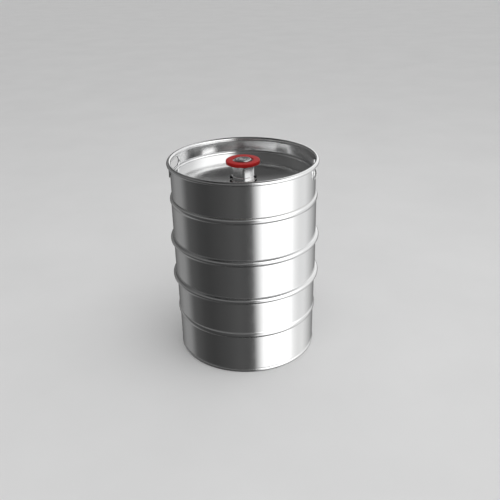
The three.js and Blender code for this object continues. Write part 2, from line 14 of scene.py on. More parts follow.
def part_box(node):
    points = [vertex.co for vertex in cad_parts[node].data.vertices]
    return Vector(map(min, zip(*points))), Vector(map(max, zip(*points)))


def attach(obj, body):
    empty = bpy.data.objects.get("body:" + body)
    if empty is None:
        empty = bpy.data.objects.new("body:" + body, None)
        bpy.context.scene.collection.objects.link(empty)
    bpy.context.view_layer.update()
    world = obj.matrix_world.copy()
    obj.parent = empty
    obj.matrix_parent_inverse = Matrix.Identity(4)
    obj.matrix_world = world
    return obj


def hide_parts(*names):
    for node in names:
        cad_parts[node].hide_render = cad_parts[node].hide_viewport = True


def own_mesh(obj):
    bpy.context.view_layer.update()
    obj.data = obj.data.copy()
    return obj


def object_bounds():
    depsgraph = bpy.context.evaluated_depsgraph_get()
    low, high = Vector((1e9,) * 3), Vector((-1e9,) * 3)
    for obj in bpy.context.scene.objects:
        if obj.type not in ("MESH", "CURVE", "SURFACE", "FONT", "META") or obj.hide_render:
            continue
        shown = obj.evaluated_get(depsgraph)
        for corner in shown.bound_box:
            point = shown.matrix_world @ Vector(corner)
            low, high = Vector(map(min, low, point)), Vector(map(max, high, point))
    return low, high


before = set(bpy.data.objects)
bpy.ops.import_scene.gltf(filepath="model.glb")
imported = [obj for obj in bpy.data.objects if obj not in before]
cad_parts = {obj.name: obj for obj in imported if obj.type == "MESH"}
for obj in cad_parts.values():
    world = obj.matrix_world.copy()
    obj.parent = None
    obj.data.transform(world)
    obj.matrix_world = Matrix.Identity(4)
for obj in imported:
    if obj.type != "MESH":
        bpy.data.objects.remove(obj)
cad_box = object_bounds()
MM = 0.001


def reach(node):
    """A node's outer radius in millimetres."""
    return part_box(node)[1].x / MM


def low(node):
    """The height of a node's underside in millimetres."""
    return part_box(node)[0].z / MM


def high(node):
    """The height of a node's top in millimetres."""
    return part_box(node)[1].z / MM


# ------------------------------------------------------------------ dimensions
SHEET = 1.6
GAP = 0.3
RIM_RADIUS = reach("top_chime")
HOOP_RADIUS = reach("upper_shell")
FOOT_RADIUS = reach("bottom_chime")
KEG_HEIGHT = high("top_chime")
SEAM_Z = (low("upper_shell") + high("lower_shell")) / 2
BODY_RADIUS = HOOP_RADIUS - 8
LOWER_WALL_RADIUS = BODY_RADIUS - 2
UPPER_BEAD_RADIUS = BODY_RADIUS + 2.8
LOWER_BEAD_RADIUS = BODY_RADIUS + 0.3
TOP_CHIME_RADIUS = RIM_RADIUS - 8
BOTTOM_CHIME_RADIUS = FOOT_RADIUS - 1
UPPER_HOOP_Z = 323
LOWER_HOOP_Z = 218.3
UPPER_BEAD_Z = 432
LOWER_BEAD_Z = 117.5
HOOP_HALF_WIDTH = 7.5
BEAD_HALF_WIDTH = 6.5
UPPER_SHOULDER_Z = low("top_chime") - GAP
LOWER_SHOULDER_Z = high("bottom_chime") + GAP

HEAD_EDGE_Z = 490
HEAD_CENTRE_Z = 474
KNUCKLE = 3.2
BOTTOM_CENTRE_Z = low("lower_shell")
BOTTOM_EDGE_Z = 60

HAND_HOLE_Z = 505
HAND_HOLE_HEIGHT = 25
HAND_HOLE_LENGTH = 110
HAND_HOLE_LIP = 3.5

NECK_FLANGE_RADIUS = reach("neck_boss")
NECK_BOTTOM = low("neck_boss")
NECK_TOP = high("neck_boss")
NECK_RADIUS = 28
NECK_COLLAR_RADIUS = 29.3
NECK_COLLAR_TOP = 486
NECK_BORE = 25.8
NECK_LEDGE_Z = 470
NECK_LEDGE_BORE = 22
NECK_FLANGE_THICKNESS = 5

# Segments round the axis.
FINE = 256
MEDIUM = 128
SMALL = 96


# ------------------------------------------------------------------ mesh helpers
# Points this close, in metres, are merged.
SAME_POINT = 0.00001


def arc(centre, radii, start, end, steps):
    """Points on an ellipse from one angle to another, in degrees."""
    points = []
    for i in range(steps + 1):
        angle = math.radians(start + (end - start) * i / steps)
        points.append((centre[0] + radii[0] * math.cos(angle), centre[1] + radii[1] * math.sin(angle)))
    return points


def bead(z, base, peak, half_width, below=4.5, above=1.6):
    """A round bead that bulges from base to peak. below and above are its fillets; 0 leaves that half out."""
    bulge_steps = 14
    fillet_steps = 6
    height = peak - base
    round_radius = (half_width ** 2 + height ** 2) / (2 * height)
    middle = peak - round_radius
    points = []
    for fillet, sign in ((below, -1), (above, 1)):
        if not fillet:
            continue
        across = base + fillet - middle
        fillet_z = math.sqrt((round_radius + fillet) ** 2 - across ** 2)
        tilt = math.degrees(math.atan2(fillet_z, across))
        half = arc((middle, z), (round_radius, round_radius), 0, sign * tilt, bulge_steps)
        corner = (base + fillet, z + sign * fillet_z)
        half += arc(corner, (fillet, fillet), 180 + sign * tilt, 180, fillet_steps)[1:]
        if sign < 0:
            points += reversed(half)
        else:
            points += half[1:] if points else half
    return points


def held(outline, closed=True, near=0.8, longest=14.0):
    """The outline with points close to the ends of each long stretch, so that shading stays flat on it."""
    result = []
    count = len(outline) if closed else len(outline) - 1
    for i in range(count):
        a = Vector(outline[i])
        b = Vector(outline[(i + 1) % len(outline)])
        span = (b - a).length
        result.append(tuple(a))
        if span < 4 * near:
            continue
        inner = max(1, round((span - 2 * near) / longest))
        for k in range(inner + 1):
            share = (near + (span - 2 * near) * k / inner) / span
            result.append(tuple(a.lerp(b, share)))
    if not closed:
        result.append(tuple(outline[-1]))
    return result


def new_object(name, mesh):
    piece = bpy.data.objects.new(name, mesh)
    bpy.context.scene.collection.objects.link(piece)
    return piece


def finish_mesh(bm, name, sharp=38):
    """Closes off a bmesh as an object with its faces pointing out, smooth but for its sharp edges."""
    bmesh.ops.remove_doubles(bm, verts=bm.verts, dist=SAME_POINT)
    bmesh.ops.recalc_face_normals(bm, faces=bm.faces)
    mesh = bpy.data.meshes.new(name)
    bm.to_mesh(mesh)
    bm.free()
    mesh.shade_smooth()
    mesh.set_sharp_from_angle(angle=math.radians(sharp))
    return new_object(name, mesh)


def turned(name, outline, segments=MEDIUM, sharp=38, open_ends=False):
    """Turns a closed outline about +Z. With open_ends the outline starts and ends on the axis."""
    points = held(outline, closed=not open_ends)
    bm = bmesh.new()
    columns = []
    for j in range(segments):
        angle = 2 * math.pi * j / segments
        c = math.cos(angle) * MM
        s = math.sin(angle) * MM
        columns.append([bm.verts.new((r * c, r * s, z * MM)) for r, z in points])
    rows = len(points) if not open_ends else len(points) - 1
    for j in range(segments):
        here = columns[j]
        there = columns[(j + 1) % segments]
        for i in range(rows):
            k = (i + 1) % len(points)
            bm.faces.new((here[i], there[i], there[k], here[k]))
    return finish_mesh(bm, name, sharp)


def join_loops(bm, loops):
    """Joins each closed loop of points to the next one with a band of faces."""
    for first, second in zip(loops, loops[1:]):
        for i in range(len(first)):
            k = (i + 1) % len(first)
            bm.faces.new((first[i], first[k], second[k], second[i]))


def dressed(piece, body, material, slot, *nodes):
    """Gives a piece its material and its body, and hides the CAD nodes that it stands for. slot is not used.
    """
    piece.data.materials.clear()
    piece.data.materials.append(material)
    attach(piece, body)
    if nodes:
        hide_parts(*nodes)
    return piece


# ------------------------------------------------------------------ material helpers
def material_base(name):
    material = bpy.data.materials.new(name)
    material.use_nodes = True
    tree = material.node_tree
    return material, tree, tree.nodes["Principled BSDF"]


def node(tree, kind, **values):
    made = tree.nodes.new(kind)
    for key, value in values.items():
        if key in made.inputs:
            made.inputs[key].default_value = value
        else:
            setattr(made, key, value)
    return made


def maths(tree, operation, a, b=None, clamp=False):
    made = tree.nodes.new("ShaderNodeMath")
    made.operation = operation
    made.use_clamp = clamp
    for socket, value in zip(made.inputs, (a, b)):
        if value is None:
            continue
        if isinstance(value, bpy.types.NodeSocket):
            tree.links.new(value, socket)
        else:
            socket.default_value = value
    return made.outputs[0]


def ramp(tree, source, stops, smooth=False):
    """Maps a value through (position, grey or colour) stops."""
    made = tree.nodes.new("ShaderNodeValToRGB")
    made.color_ramp.interpolation = "EASE" if smooth else "LINEAR"
    elements = made.color_ramp.elements
    while len(elements) < len(stops):
        elements.new(0.5)
    for element, (position, colour) in zip(elements, stops):
        element.position = position
        rgb = colour if isinstance(colour, tuple) else (colour, colour, colour)
        element.color = (*rgb, 1)
    tree.links.new(source, made.inputs[0])
    return made.outputs[0]


def spans(tree, source, low_in, high_in, low_out, high_out):
    """Maps a range of a value onto another, and clamps it."""
    made = node(tree, "ShaderNodeMapRange")
    made.inputs["From Min"].default_value = low_in
    made.inputs["From Max"].default_value = high_in
    made.inputs["To Min"].default_value = low_out
    made.inputs["To Max"].default_value = high_out
    tree.links.new(source, made.inputs["Value"])
    return made.outputs["Result"]


def place(tree):
    """Position in metres in the row frame, as a vector, and its distance from the axis."""
    coords = node(tree, "ShaderNodeTexCoord")
    apart = node(tree, "ShaderNodeSeparateXYZ")
    tree.links.new(coords.outputs["Object"], apart.inputs[0])
    x, y, z = apart.outputs
    squares = maths(tree, "ADD", maths(tree, "MULTIPLY", x, x), maths(tree, "MULTIPLY", y, y))
    return coords.outputs["Object"], maths(tree, "SQRT", squares), x, y, z


def noise(tree, vector, scale, detail=3.0, roughness=0.55):
    made = node(tree, "ShaderNodeTexNoise", Scale=scale, Detail=detail, Roughness=roughness)
    if vector is not None:
        tree.links.new(vector, made.inputs["Vector"])
    return made.outputs["Fac"]


def turning_lines(tree, radius, x, y, z, pitch, drift):
    """Fine lines that run round the axis: quick along the outline, slow round it."""
    around = node(tree, "ShaderNodeCombineXYZ")
    safe = maths(tree, "MAXIMUM", radius, 0.001)
    tree.links.new(maths(tree, "MULTIPLY", maths(tree, "DIVIDE", x, safe), drift), around.inputs[0])
    tree.links.new(maths(tree, "MULTIPLY", maths(tree, "DIVIDE", y, safe), drift), around.inputs[1])
    tree.links.new(maths(tree, "MULTIPLY", z, 1 / pitch), around.inputs[2])
    made = node(tree, "ShaderNodeTexNoise", noise_dimensions="4D", Scale=1.0, Detail=2.0)
    tree.links.new(around.outputs[0], made.inputs["Vector"])
    tree.links.new(maths(tree, "MULTIPLY", radius, 1 / pitch), made.inputs["W"])
    return made.outputs["Fac"]


def bump(tree, shader, layers):
    """Chains bump layers of (height, strength, distance) into the shader's normal."""
    last = None
    for height, strength, distance in layers:
        made = node(tree, "ShaderNodeBump", Strength=strength, Distance=distance)
        tree.links.new(height, made.inputs["Height"])
        if last is not None:
            tree.links.new(last, made.inputs["Normal"])
        last = made.outputs["Normal"]
    tree.links.new(last, shader.inputs["Normal"])


# ------------------------------------------------------------------ materials
def polished_sheet(name, tone, roughness, line_strength, wear, inner_radius, inner_share):
    """Bright rolled stainless: faint turning lines, cloudy roughness, hairline scratches and rubbed beads.

    Inside inner_radius its roughness is multiplied by inner_share.
    """
    material, tree, shader = material_base(name)
    vector, radius, x, y, z = place(tree)
    clouds = noise(tree, vector, 9.0, 4.0)
    smears = noise(tree, vector, 42.0, 5.0, 0.65)
    lines = turning_lines(tree, radius, x, y, z, 0.0006, 2.5)
    colour = ramp(tree, clouds, [(0.3, tuple(tone * k for k in (0.96, 0.965, 0.97))),
                                 (0.7, tuple(tone * k for k in (1.0, 1.0, 0.995)))])
    tree.links.new(colour, shader.inputs["Base Color"])
    rough = spans(tree, smears, 0.35, 0.7, roughness * 0.85, roughness * 1.25)
    streaks = spans(tree, lines, 0.3, 0.7, -0.015, 0.015)
    rough = maths(tree, "ADD", rough, streaks)
    crest = spans(tree, radius, (BODY_RADIUS + 1.4) * MM, (HOOP_RADIUS + 0.2) * MM, 0.0, 1.0)
    worn = spans(tree, noise(tree, vector, 60.0, 6.0, 0.7), 0.4, 0.6, 0.0, wear)
    rough = maths(tree, "ADD", rough, maths(tree, "MULTIPLY", crest, worn), clamp=True)
    inner = spans(tree, radius, (inner_radius - 1) * MM, inner_radius * MM, inner_share, 1.0)
    rough = maths(tree, "MULTIPLY", rough, inner)
    tree.links.new(rough, shader.inputs["Roughness"])
    shader.inputs["Metallic"].default_value = 1.0
    scratch = node(tree, "ShaderNodeTexNoise", Scale=1.0, Detail=2.0)
    stretch = node(tree, "ShaderNodeMapping")
    stretch.inputs["Rotation"].default_value = (0.3, 0.5, 0.9)
    stretch.inputs["Scale"].default_value = (900.0, 900.0, 14.0)
    tree.links.new(vector, stretch.inputs["Vector"])
    tree.links.new(stretch.outputs[0], scratch.inputs["Vector"])
    hairline = spans(tree, scratch.outputs["Fac"], 0.72, 0.8, 0.0, 1.0)
    bump(tree, shader, [
        (clouds, 0.04, 0.0006),
        (lines, line_strength, 0.00002),
        (hairline, 0.05, 0.00002),
    ])
    return material


def turned_steel(name, tone, roughness, line_strength):
    """Machined stainless: visible turning lines and a slightly uneven roughness."""
    material, tree, shader = material_base(name)
    vector, radius, x, y, z = place(tree)
    clouds = noise(tree, vector, 60.0, 4.0)
    lines = turning_lines(tree, radius, x, y, z, 0.0004, 3.0)
    colour = ramp(tree, clouds, [(0.3, tuple(tone * k for k in (0.93, 0.93, 0.94))),
                                 (0.7, (tone, tone, tone * 0.99))])
    tree.links.new(colour, shader.inputs["Base Color"])
    rough = maths(tree, "ADD", spans(tree, clouds, 0.3, 0.7, roughness * 0.85, roughness * 1.2),
                  spans(tree, lines, 0.3, 0.7, -0.04, 0.04), clamp=True)
    tree.links.new(rough, shader.inputs["Roughness"])
    shader.inputs["Metallic"].default_value = 1.0
    bump(tree, shader, [(lines, line_strength, 0.00003), (clouds, 0.08, 0.0002)])
    return material


def weld_metal():
    """A brushed weld: cloudy, a touch darker, with a faint straw tint in places."""
    material, tree, shader = material_base("weld_metal")
    vector = place(tree)[0]
    tint = noise(tree, vector, 25.0, 4.0)
    straw = (0.56, 0.53, 0.47)
    colour = ramp(tree, tint, [(0.35, (0.5, 0.5, 0.5)), (0.6, (0.58, 0.575, 0.56)), (0.75, straw)])
    tree.links.new(colour, shader.inputs["Base Color"])
    grain = noise(tree, vector, 700.0, 3.0)
    tree.links.new(spans(tree, grain, 0.3, 0.7, 0.2, 0.36), shader.inputs["Roughness"])
    shader.inputs["Metallic"].default_value = 1.0
    bump(tree, shader, [(grain, 0.2, 0.0001)])
    return material


def moulded_red():
    """Satin red plastic: fine moulded grain, slight fading, and rubbed edges."""
    material, tree, shader = material_base("moulded_red")
    vector = place(tree)[0]
    fading = noise(tree, vector, 70.0, 4.0)
    grain = noise(tree, vector, 2600.0, 2.0)
    colour = ramp(tree, fading, [(0.3, (0.36, 0.014, 0.015)), (0.7, (0.41, 0.017, 0.016))])
    tree.links.new(colour, shader.inputs["Base Color"])
    tree.links.new(spans(tree, fading, 0.3, 0.7, 0.34, 0.46), shader.inputs["Roughness"])
    shader.inputs["IOR"].default_value = 1.49
    shader.inputs["Specular IOR Level"].default_value = 0.12
    bump(tree, shader, [(grain, 0.25, 0.00004), (fading, 0.1, 0.0003)])
    return material


def black_oxide():
    """Blackened steel with lighter rubbed patches."""
    material, tree, shader = material_base("black_oxide")
    vector = place(tree)[0]
    patches = noise(tree, vector, 260.0, 5.0, 0.7)
    colour = ramp(tree, patches, [(0.45, (0.012, 0.012, 0.013)), (0.75, (0.05, 0.05, 0.05))])
    tree.links.new(colour, shader.inputs["Base Color"])
    tree.links.new(spans(tree, patches, 0.3, 0.7, 0.4, 0.6), shader.inputs["Roughness"])
    shader.inputs["Specular IOR Level"].default_value = 0.25
    bump(tree, shader, [(patches, 0.2, 0.0001)])
    return material


def black_rubber():
    """Matt black rubber with a dusty bloom."""
    material, tree, shader = material_base("black_rubber")
    vector = place(tree)[0]
    bloom = noise(tree, vector, 150.0, 5.0, 0.7)
    grain = noise(tree, vector, 1800.0, 2.0)
    colour = ramp(tree, bloom, [(0.35, (0.012, 0.012, 0.012)), (0.75, (0.035, 0.034, 0.033))])
    tree.links.new(colour, shader.inputs["Base Color"])
    tree.links.new(spans(tree, bloom, 0.3, 0.7, 0.6, 0.8), shader.inputs["Roughness"])
    bump(tree, shader, [(grain, 0.3, 0.00005)])
    return material


BARREL_STEEL = polished_sheet("barrel_steel", 0.74, 0.15, 0.05, 0.08, TOP_CHIME_RADIUS - 3, 0.5)
CHIME_STEEL = polished_sheet("chime_steel", 0.74, 0.14, 0.04, 0.05, TOP_CHIME_RADIUS - 0.4, 1.1)
NECK_STEEL = turned_steel("neck_steel", 0.7, 0.12, 0.12)
PLATE_STEEL = turned_steel("plate_steel", 0.55, 0.16, 0.1)
FITTING_STEEL = turned_steel("fitting_steel", 0.6, 0.26, 0.4)
WIRE_STEEL = turned_steel("wire_steel", 0.52, 0.3, 0.2)
WELD_METAL = weld_metal()
MOULDED_RED = moulded_red()
BLACK_OXIDE = black_oxide()
BLACK_RUBBER = black_rubber()

# ------------------------------------------------------------------ barrel
UPPER_SPIGOT = TOP_CHIME_RADIUS - SHEET - GAP
LOWER_SPIGOT = BOTTOM_CHIME_RADIUS - SHEET - GAP
HEAD_RINGS = 52
KNUCKLE_Z = HEAD_EDGE_Z + 0.4
KNUCKLE_FOOT_Z = HEAD_EDGE_Z - 3
NECK_WELD_OVERLAP = 0.2

# Each shoulder curves from its bead to just outside the chime. It starts a little past the crown.
SHOULDER_MARGIN = 0.4
SHOULDER_START = 8
DRAWN_IN_BELOW_HOOP = 28


def head_point(radius):
    """The dished head is a shallow paraboloid inside its knuckle."""
    share = radius / (UPPER_SPIGOT - 2 * KNUCKLE)
    return (radius, HEAD_CENTRE_Z + (HEAD_EDGE_Z - HEAD_CENTRE_Z) * share ** 2)


def upper_shell():
    """Barrel wall, rolling hoop, rounded shoulder, and the dished head with its raised knuckle."""
    wall = BODY_RADIUS - SHEET
    shoulder = UPPER_SHOULDER_Z - UPPER_BEAD_Z
    shoulder_edge = TOP_CHIME_RADIUS + SHOULDER_MARGIN
    knuckle = (UPPER_SPIGOT - KNUCKLE, KNUCKLE_Z)
    neck_hole = NECK_COLLAR_RADIUS - NECK_WELD_OVERLAP
    edge_radius = UPPER_SPIGOT - 2 * KNUCKLE
    radii = [neck_hole + (edge_radius - neck_hole) * k / HEAD_RINGS for k in range(HEAD_RINGS, -1, -1)]
    outside = [(BODY_RADIUS, SEAM_Z)]
    outside += bead(UPPER_HOOP_Z, BODY_RADIUS, HOOP_RADIUS, HOOP_HALF_WIDTH)
    outside += bead(UPPER_BEAD_Z, BODY_RADIUS, UPPER_BEAD_RADIUS, BEAD_HALF_WIDTH, above=0)
    radii_of_shoulder = (UPPER_BEAD_RADIUS - shoulder_edge, shoulder)
    outside += arc((shoulder_edge, UPPER_BEAD_Z), radii_of_shoulder, SHOULDER_START, 90, 12)
    outside += [(UPPER_SPIGOT, UPPER_SHOULDER_Z)]
    outside += arc(knuckle, (KNUCKLE, KNUCKLE), 0, 140, 12)
    outside += [head_point(r) for r in radii]
    inside = [(r, z - SHEET) for r, z in [head_point(r) for r in reversed(radii)]]
    inside += [(UPPER_SPIGOT - SHEET, KNUCKLE_FOOT_Z), (UPPER_SPIGOT - SHEET, UPPER_SHOULDER_Z - SHEET)]
    inside += [(wall, UPPER_BEAD_Z)]
    inside += reversed(bead(UPPER_HOOP_Z, wall, HOOP_RADIUS - SHEET, HOOP_HALF_WIDTH))
    inside += [(wall, SEAM_Z)]
    return turned("barrel_upper_half", outside + inside, FINE)


def bottom_head(offset):
    """The domed bottom, from its outer edge to the axis, for an offset inwards."""
    depth = BOTTOM_EDGE_Z - BOTTOM_CENTRE_Z - offset
    return arc((0, BOTTOM_EDGE_Z), (LOWER_SPIGOT - offset, depth), 0, -90, 24)


def lower_shell():
    """Barrel wall, rolling hoop, drawn-in lower wall, rounded shoulder and the domed bottom."""
    wall = BODY_RADIUS - SHEET
    lower_wall = LOWER_WALL_RADIUS - SHEET
    shoulder = LOWER_BEAD_Z - LOWER_SHOULDER_Z
    shoulder_edge = BOTTOM_CHIME_RADIUS + SHOULDER_MARGIN
    outside = list(reversed(bottom_head(0)))
    outside[0] = (0, BOTTOM_CENTRE_Z)
    outside += [(LOWER_SPIGOT, LOWER_SHOULDER_Z)]
    radii_of_shoulder = (LOWER_BEAD_RADIUS - shoulder_edge, shoulder)
    outside += arc((shoulder_edge, LOWER_BEAD_Z), radii_of_shoulder, -90, -SHOULDER_START, 12)
    outside += bead(LOWER_BEAD_Z, LOWER_WALL_RADIUS, LOWER_BEAD_RADIUS, BEAD_HALF_WIDTH, below=0)
    outside += bead(LOWER_HOOP_Z, LOWER_WALL_RADIUS, HOOP_RADIUS, HOOP_HALF_WIDTH, above=0)
    outside += bead(LOWER_HOOP_Z, BODY_RADIUS, HOOP_RADIUS, HOOP_HALF_WIDTH, below=0)[1:]
    outside += [(BODY_RADIUS, SEAM_Z)]
    inside = [(wall, SEAM_Z)]
    inside += reversed(bead(LOWER_HOOP_Z, wall, HOOP_RADIUS - SHEET, HOOP_HALF_WIDTH))
    inside += [
        (lower_wall, LOWER_HOOP_Z - DRAWN_IN_BELOW_HOOP),
        (lower_wall, LOWER_BEAD_Z - BEAD_HALF_WIDTH + 1),
        (LOWER_SPIGOT - SHEET, LOWER_SHOULDER_Z + SHEET),
    ]
    inside += bottom_head(SHEET)
    inside[-1] = (0, BOTTOM_CENTRE_Z + SHEET)
    return turned("barrel_lower_half", outside + inside, FINE, open_ends=True)


# ------------------------------------------------------------------ top chime with its hand holes
RIM_HALF_WIDTH = 5.6
RIM_HALF_HEIGHT = 5.3
RIM_ROLL = (-84, 236)

# A panel is the part of the wall round a hand hole. It reaches PANEL_COLUMNS to each side.
PANEL_COLUMNS = 15
PANEL_ROWS = 10
PANEL_LOW = 484.0
PANEL_HIGH = 521.6


def chime_outline():
    """The chime's closed outline. Returns it with the row numbers where its two hole panels start."""
    outer = TOP_CHIME_RADIUS
    inner = TOP_CHIME_RADIUS - SHEET
    foot = UPPER_SHOULDER_Z + 0.1
    centre = (RIM_RADIUS - RIM_HALF_WIDTH, KEG_HEIGHT - RIM_HALF_HEIGHT)
    weld_row = 0.8
    skirt_row = 14
    below = [foot, foot + weld_row, foot + skirt_row, foot + 2 * skirt_row]
    panel = [PANEL_LOW + (PANEL_HIGH - PANEL_LOW) * i / PANEL_ROWS for i in range(PANEL_ROWS + 1)]
    outline = [(outer, z) for z in below + panel]
    outer_start = len(below)
    outline += arc(centre, (RIM_HALF_WIDTH, RIM_HALF_HEIGHT), *RIM_ROLL, 40)
    inner_start = len(outline)
    outline += [(inner, z) for z in reversed(panel)]
    outline += [(inner, z) for z in reversed(below)]
    return outline, outer_start, inner_start


def slot_point(u, v, radius):
    """The point nearest to (u, v) on a round-ended slot of that half height."""
    straight = (HAND_HOLE_LENGTH - HAND_HOLE_HEIGHT) / 2
    middle = max(-straight, min(straight, u))
    away = Vector((u - middle, v))
    away = away.normalized() * radius
    return (middle + away.x, away.y)


def lip_section():
    """The hole's turned-out lip as (distance from the opening, height off the wall) points."""
    lip = HAND_HOLE_LIP
    fillet = 2.0
    half = (lip - fillet) / 2
    outside = arc((lip, fillet), (fillet, fillet), -90, -180, 5)
    tip = arc((half, lip - half), (half, half), 0, 180, 6)
    inside = arc((lip, fillet), (lip, fillet + SHEET), 180, 270, 7)
    return outside + tip + inside


def between(first, second, share):
    """Points a share of the way from each point of one list to that of another."""
    return [(a[0] + (b[0] - a[0]) * share, a[1] + (b[1] - a[1]) * share) for a, b in zip(first, second)]


def column_angle(j):
    return 2 * math.pi * j / FINE


def panel_border(start, middle):
    """A panel's edge as (row, column) keys, anticlockwise from its lower left corner."""
    left = middle - PANEL_COLUMNS
    right = middle + PANEL_COLUMNS
    top = start + PANEL_ROWS
    keys = [(start, j) for j in range(left, right)]
    keys += [(i, right) for i in range(start, top)]
    keys += [(top, j) for j in range(right, left, -1)]
    keys += [(i, left) for i in range(top, start, -1)]
    return keys


def hand_hole(bm, grid, outline, outer_start, inner_start, middle):
    """Fills a panel with rings that run from the outer wall over the hole's lip to the inner wall.

    Points on a panel are (u, v): u runs round the wall as seen along X, and v is the height over the hole.
    """
    turn = column_angle(middle)
    half = HAND_HOLE_HEIGHT / 2
    keys = panel_border(outer_start, middle)
    flat = []
    for i, j in keys:
        u = TOP_CHIME_RADIUS * math.sin(column_angle(j) - turn)
        flat.append((u, outline[i][1] - HAND_HOLE_Z))
    edge = [slot_point(u, v, half + HAND_HOLE_LIP) for u, v in flat]

    def ring(points, off_wall):
        made = []
        r = (TOP_CHIME_RADIUS + off_wall) * MM
        for u, v in points:
            angle = turn + math.asin(u / TOP_CHIME_RADIUS)
            made.append(bm.verts.new((r * math.cos(angle), r * math.sin(angle), (HAND_HOLE_Z + v) * MM)))
        return made

    rings = [[grid[i, j % FINE] for i, j in keys]]
    for share in (0.34, 0.67):
        rings.append(ring(between(flat, edge, share), 0))
    for distance, off_wall in lip_section():
        rings.append(ring([slot_point(u, v, half + distance) for u, v in flat], off_wall))
    for share in (0.67, 0.34):
        rings.append(ring(between(flat, edge, share), -SHEET))
    rings.append([grid[inner_start + PANEL_ROWS - (i - outer_start), j % FINE] for i, j in keys])
    join_loops(bm, rings)


def top_chime():
    """A skirt with a rolled rim. Each hand hole's edge flows out of the wall into a turned-out lip."""
    outline, outer_start, inner_start = chime_outline()
    rows = len(outline)
    bm = bmesh.new()

    def in_panel(i, j, first):
        """Whether a place on the grid is in a panel. first is 0 for faces, 1 for points inside its edge."""
        offset = (j + PANEL_COLUMNS) % (FINE // 2) - PANEL_COLUMNS
        in_columns = first - PANEL_COLUMNS <= offset < PANEL_COLUMNS
        in_rows = any(start + first <= i < start + PANEL_ROWS for start in (outer_start, inner_start))
        return in_columns and in_rows

    grid = {}
    for j in range(FINE):
        c = math.cos(column_angle(j)) * MM
        s = math.sin(column_angle(j)) * MM
        for i, (r, z) in enumerate(outline):
            if not in_panel(i, j, 1):
                grid[i, j] = bm.verts.new((r * c, r * s, z * MM))
    for j in range(FINE):
        k = (j + 1) % FINE
        for i in range(rows):
            if not in_panel(i, j, 0):
                n = (i + 1) % rows
                bm.faces.new((grid[i, j], grid[i, k], grid[n, k], grid[n, j]))
    for middle in (0, FINE // 2):
        hand_hole(bm, grid, outline, outer_start, inner_start, middle)
    return finish_mesh(bm, "chime_top", 40)


def bottom_chime():
    """A skirt with its lower edge rolled in to a round foot."""
    outer = BOTTOM_CHIME_RADIUS
    inner = outer - SHEET
    half = 5.0
    sole = 1.6
    middle = FOOT_RADIUS - half
    top = LOWER_SHOULDER_Z - 0.2
    outer_low = 11.5
    inner_low = 13
    outline = [(middle - sole, 0.0)]
    outline += arc((middle, half), (half, half), -90, 60, 16)
    outline += [(outer, outer_low), (outer, top), (inner, top), (inner, inner_low)]
    outline += arc((middle, half), (half, half), 100, 262, 16)
    return turned("chime_bottom", outline, FINE)


# ------------------------------------------------------------------ welds
def weld_ring(name, radius, z, width, height, ripple):
    """A closed ring of weld with a rippled crown. Its section is an ellipse."""
    columns = 720
    columns_per_ripple = 6
    section = 12
    bm = bmesh.new()
    loops = []
    for j in range(columns):
        angle = 2 * math.pi * j / columns
        phase = (j % columns_per_ripple) / columns_per_ripple
        swell = 1 + ripple * (phase * (1 - phase) * 4 - 0.5)
        loop = []
        for i in range(section):
            turn = 2 * math.pi * i / section
            r = (radius + width * swell * math.cos(turn)) * MM
            loop.append(bm.verts.new((r * math.cos(angle), r * math.sin(angle),
                                      (z + height * swell * math.sin(turn)) * MM)))
        loops.append(loop)
    join_loops(bm, loops + loops[:1])
    return finish_mesh(bm, name, 80)


# ------------------------------------------------------------------ neck, screws and ring
GROOVE_RADIUS = 27
LOCK_SCREW_RADIUS = 4
LOCK_SCREW_START = NECK_BORE + GAP
LOCK_SCREW_END = 34.5
LOCK_SCREW_TURN = 7


def rounded(corner, radius, start, end, steps):
    """An arc of that radius in an outline's corner. start and end are its angles in degrees."""
    middle = math.radians((start + end) / 2)
    inwards_r = -radius if math.cos(middle) > 0 else radius
    inwards_z = -radius if math.sin(middle) > 0 else radius
    return arc((corner[0] + inwards_r, corner[1] + inwards_z), (radius, radius), start, end, steps)


def neck_boss():
    """The flanged neck, its thicker foot, and the groove for the retaining ring."""
    flange_low = NECK_TOP - NECK_FLANGE_THICKNESS
    groove_low = low("retaining_ring") - GAP
    groove_high = high("retaining_ring") + GAP
    mouth = 0.5
    outline = [(NECK_LEDGE_BORE, NECK_BOTTOM), (NECK_COLLAR_RADIUS, NECK_BOTTOM)]
    outline += rounded((NECK_COLLAR_RADIUS, NECK_COLLAR_TOP), NECK_COLLAR_RADIUS - NECK_RADIUS, 0, 90, 6)
    outline += arc((NECK_RADIUS + 1.5, flange_low - 1.5), (1.5, 1.5), 180, 90, 6)
    outline += rounded((NECK_FLANGE_RADIUS, flange_low), 0.8, -90, 0, 4)
    outline += rounded((NECK_FLANGE_RADIUS, NECK_TOP), 1.2, 0, 90, 5)
    outline += [
        (NECK_BORE + mouth, NECK_TOP),
        (NECK_BORE, NECK_TOP - mouth),
        (NECK_BORE, groove_high),
        (GROOVE_RADIUS, groove_high),
        (GROOVE_RADIUS, groove_low),
        (NECK_BORE, groove_low),
        (NECK_BORE, NECK_LEDGE_Z),
        (NECK_LEDGE_BORE, NECK_LEDGE_Z),
    ]
    return turned("neck", outline)


